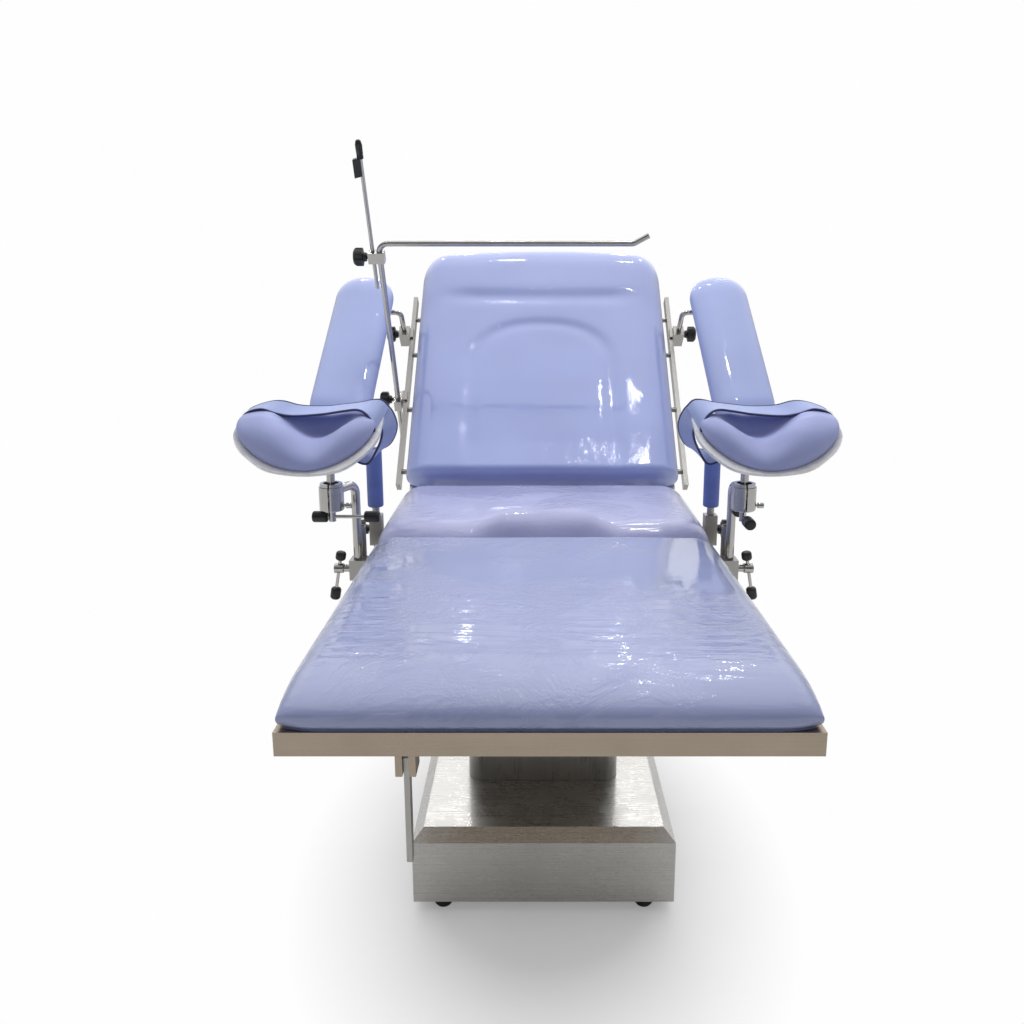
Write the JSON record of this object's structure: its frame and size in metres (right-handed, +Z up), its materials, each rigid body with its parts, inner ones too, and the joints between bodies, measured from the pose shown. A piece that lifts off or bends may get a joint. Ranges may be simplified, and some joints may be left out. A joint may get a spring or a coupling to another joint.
{
  "type": "delivery table",
  "caption": "Electric delivery table: stainless base and telescopic column, tilting seat, raised back, folding leg section, leg holders, hand grips, arm boards and a drape screen bar",
  "frame": {"origin": "centre of the overall bounding box, on the floor", "axes": "+X to the patient's left hand side, +Y to the head end, +Z up"},
  "size_m": [1.0328, 1.4403, 1.4091],
  "materials": {
    "painted_frame": "satin powder coat",
    "stainless": "brushed stainless sheet",
    "polished": "polished stainless bar",
    "zinc": "satin machined steel",
    "upholstery": "glossy coated fabric under clear film",
    "holder_upholstery": "satin coated fabric",
    "white_shell": "smooth moulded",
    "black_plastic": "satin moulded",
    "foam_grip": "fine closed-cell foam",
    "rubber": "moulded rubber",
    "drive_body": "cast and turned",
    "bronze": "turned bearing bronze"
  },
  "bodies": {
    "base": {"base_chassis": "painted_frame", "base_cover": "stainless", "levelling_feet": "rubber", "power_inlet": "black_plastic", "control_box": "black_plastic", "column_lower_cover": "stainless", "lift_actuator_tube": "drive_body"},
    "lift": {"column_upper_cover": "stainless", "lift_actuator_rod": "polished", "tilt_head": "painted_frame", "tilt_bushes": "bronze"},
    "tilt_tube": {"tilt_actuator_tube": "drive_body"},
    "tilt_rod": {"tilt_actuator_rod": "polished"},
    "table": {"main_frame": "painted_frame", "hinge_pins": "zinc", "seat_pan": "stainless", "seat_cushion": "upholstery", "seat_rails": "stainless", "back_actuator_tube": "drive_body"},
    "back_rod": {"back_actuator_rod": "polished"},
    "leg": {"leg_tray": "stainless", "leg_cushion": "upholstery"},
    "lever": {"release_lever": "black_plastic"},
    "back": {"back_frame": "painted_frame", "back_pan": "stainless", "back_cushion": "upholstery", "back_rails": "stainless"},
    "screen_clamp": {"screen_clamp": "zinc"},
    "screen_knob": {"screen_knob": "black_plastic"},
    "screen_rod": {"screen_rod": "polished"},
    "screen_cross_knob": {"screen_cross_knob": "black_plastic"},
    "screen_extension": {"screen_extension": "polished"},
    "leg_clamp_left": {"leg_clamp_left": "zinc"},
    "leg_screw_left": {"leg_clamp_screw_left": "polished"},
    "leg_post_left": {"leg_post_left": "polished"},
    "crutch_left": {"crutch_stem_left": "polished", "crutch_shell_left": "white_shell", "crutch_pad_left": "holder_upholstery"},
    "holder_handle_left": {"holder_handle_left": "polished"},
    "grip_left": {"grip_bracket_left": "zinc", "grip_foam_left": "foam_grip"},
    "grip_knob_left": {"grip_knob_left": "black_plastic"},
    "arm_clamp_left": {"arm_clamp_left": "zinc"},
    "arm_knob_left": {"arm_knob_left": "black_plastic"},
    "arm_left": {"arm_bracket_left": "polished", "arm_cushion_left": "upholstery"},
    "leg_clamp_right": {"leg_clamp_right": "zinc"},
    "leg_screw_right": {"leg_clamp_screw_right": "polished"},
    "leg_post_right": {"leg_post_right": "polished"},
    "crutch_right": {"crutch_stem_right": "polished", "crutch_shell_right": "white_shell", "crutch_pad_right": "holder_upholstery"},
    "holder_handle_right": {"holder_handle_right": "polished"},
    "grip_right": {"grip_bracket_right": "zinc", "grip_foam_right": "foam_grip"},
    "grip_knob_right": {"grip_knob_right": "black_plastic"},
    "arm_clamp_right": {"arm_clamp_right": "zinc"},
    "arm_knob_right": {"arm_knob_right": "black_plastic"},
    "arm_right": {"arm_bracket_right": "polished", "arm_cushion_right": "upholstery"}
  },
  "joints": [
    {"name": "lift", "type": "slide", "parent": "base", "child": "lift", "axis": [0, 0, 1], "range_m": [0, 0.2]},
    {"name": "tilt", "type": "hinge", "parent": "lift", "child": "table", "pos_m": [0, 0.075, 0.59], "axis": [1, 0, 0], "range_deg": [-8, 12]},
    {"name": "tilt_tube_swing", "type": "hinge", "parent": "lift", "child": "tilt_tube", "pos_m": [-0.19, 0.075, 0.5], "axis": [1, 0, 0], "range_deg": [-6.5, 9.7]},
    {"name": "tilt_rod_slide", "type": "slide", "parent": "tilt_tube", "child": "tilt_rod", "axis": [0, -0.9129, 0.4082], "range_m": [-0.0176, 0.0118]},
    {"name": "back_raise", "type": "hinge", "parent": "table", "child": "back", "pos_m": [0, 0.228, 0.655], "axis": [1, 0, 0], "range_deg": [-48, 10]},
    {"name": "back_rod_slide", "type": "slide", "parent": "table", "child": "back_rod", "axis": [0, 1, 0], "range_m": [-0.09, 0.02]},
    {"name": "leg_fold", "type": "hinge", "parent": "table", "child": "leg", "pos_m": [0, -0.122, 0.641], "axis": [1, 0, 0], "range_deg": [0, 60]},
    {"name": "lever_pull", "type": "hinge", "parent": "leg", "child": "lever", "pos_m": [-0.16, -0.692, 0.609], "axis": [1, 0, 0], "range_deg": [-25, 0], "stiffness_Nm_per_rad": 0.8, "springref_deg": 8.59},
    {"name": "screen_clamp_slide", "type": "slide", "parent": "back", "child": "screen_clamp", "axis": [0, 0.6691, 0.7431], "range_m": [-0.1, 0.1]},
    {"name": "screen_knob_turn", "type": "hinge", "parent": "screen_clamp", "child": "screen_knob", "pos_m": [-0.37, 0.43617, 0.87125], "axis": [1, 0, 0], "continuous": true},
    {"name": "screen_lean", "type": "hinge", "parent": "screen_clamp", "child": "screen_rod", "pos_m": [-0.341, 0.43617, 0.87125], "axis": [1, 0, 0], "range_deg": [-40, 20]},
    {"name": "screen_cross_knob_turn", "type": "hinge", "parent": "screen_rod", "child": "screen_cross_knob", "pos_m": [-0.341, 0.24687, 1.19531], "axis": [1, 0, 0], "continuous": true},
    {"name": "screen_extension_slide", "type": "slide", "parent": "screen_rod", "child": "screen_extension", "axis": [0, -0.4695, 0.8829], "range_m": [-0.15, 0.02]},
    {"name": "leg_clamp_slide_left", "type": "slide", "parent": "table", "child": "leg_clamp_left", "axis": [0, 1, 0], "range_m": [-0.01, 0.05]},
    {"name": "leg_screw_turn_left", "type": "hinge", "parent": "leg_clamp_left", "child": "leg_screw_left", "pos_m": [-0.355, -0.082, 0.624], "axis": [1, 0, 0], "continuous": true},
    {"name": "leg_post_swivel_left", "type": "hinge", "parent": "leg_clamp_left", "child": "leg_post_left", "pos_m": [-0.341, -0.082, 0.7], "axis": [0, 0, 1], "range_deg": [-60, 30]},
    {"name": "crutch_tilt_left", "type": "hinge", "parent": "leg_post_left", "child": "crutch_left", "pos_m": [-0.368, -0.148, 0.776], "axis": [1, 0, 0], "range_deg": [-12, 12]},
    {"name": "handle_turn_left", "type": "hinge", "parent": "leg_post_left", "child": "holder_handle_left", "pos_m": [-0.368, -0.148, 0.74], "axis": [0, 0, 1], "range_deg": [-270, 45]},
    {"name": "grip_slide_left", "type": "slide", "parent": "table", "child": "grip_left", "axis": [0, 1, 0], "range_m": [-0.02, 0.12]},
    {"name": "grip_knob_turn_left", "type": "hinge", "parent": "grip_left", "child": "grip_knob_left", "pos_m": [-0.349, 0.028, 0.6665], "axis": [1, 0, 0], "continuous": true},
    {"name": "arm_clamp_slide_left", "type": "slide", "parent": "back", "child": "arm_clamp_left", "axis": [0, 0.6691, 0.7431], "range_m": [-0.06, 0.06]},
    {"name": "arm_swivel_left", "type": "hinge", "parent": "arm_clamp_left", "child": "arm_left", "pos_m": [-0.341, 0.55587, 1.01914], "axis": [0, 0.7431, -0.6691], "range_deg": [0, 75]},
    {"name": "arm_knob_turn_left", "type": "hinge", "parent": "arm_clamp_left", "child": "arm_knob_left", "pos_m": [-0.364, 0.55439, 1.02048], "axis": [1, 0, 0], "continuous": true},
    {"name": "leg_clamp_slide_right", "type": "slide", "parent": "table", "child": "leg_clamp_right", "axis": [0, 1, 0], "range_m": [-0.01, 0.05]},
    {"name": "leg_screw_turn_right", "type": "hinge", "parent": "leg_clamp_right", "child": "leg_screw_right", "pos_m": [0.355, -0.082, 0.624], "axis": [1, 0, 0], "continuous": true},
    {"name": "leg_post_swivel_right", "type": "hinge", "parent": "leg_clamp_right", "child": "leg_post_right", "pos_m": [0.341, -0.082, 0.7], "axis": [0, 0, -1], "range_deg": [-60, 30]},
    {"name": "crutch_tilt_right", "type": "hinge", "parent": "leg_post_right", "child": "crutch_right", "pos_m": [0.345, -0.148, 0.776], "axis": [1, 0, 0], "range_deg": [-12, 12]},
    {"name": "handle_turn_right", "type": "hinge", "parent": "leg_post_right", "child": "holder_handle_right", "pos_m": [0.345, -0.148, 0.74], "axis": [0, 0, 1], "continuous": true},
    {"name": "grip_slide_right", "type": "slide", "parent": "table", "child": "grip_right", "axis": [0, 1, 0], "range_m": [-0.02, 0.12]},
    {"name": "grip_knob_turn_right", "type": "hinge", "parent": "grip_right", "child": "grip_knob_right", "pos_m": [0.349, 0.028, 0.6665], "axis": [1, 0, 0], "continuous": true},
    {"name": "arm_clamp_slide_right", "type": "slide", "parent": "back", "child": "arm_clamp_right", "axis": [0, 0.6691, 0.7431], "range_m": [-0.06, 0.06]},
    {"name": "arm_swivel_right", "type": "hinge", "parent": "arm_clamp_right", "child": "arm_right", "pos_m": [0.341, 0.55587, 1.01914], "axis": [0, -0.7431, 0.6691], "range_deg": [0, 75]},
    {"name": "arm_knob_turn_right", "type": "hinge", "parent": "arm_clamp_right", "child": "arm_knob_right", "pos_m": [0.364, 0.55439, 1.02048], "axis": [1, 0, 0], "continuous": true}
  ],
  "couplings": [
    {"joint": "tilt_tube_swing", "follows": "tilt", "ratio": 0.8},
    {"joint": "tilt_rod_slide", "follows": "tilt", "m_per_rad": -0.083},
    {"joint": "back_rod_slide", "follows": "back_raise", "m_per_rad": 0.105}
  ]
}
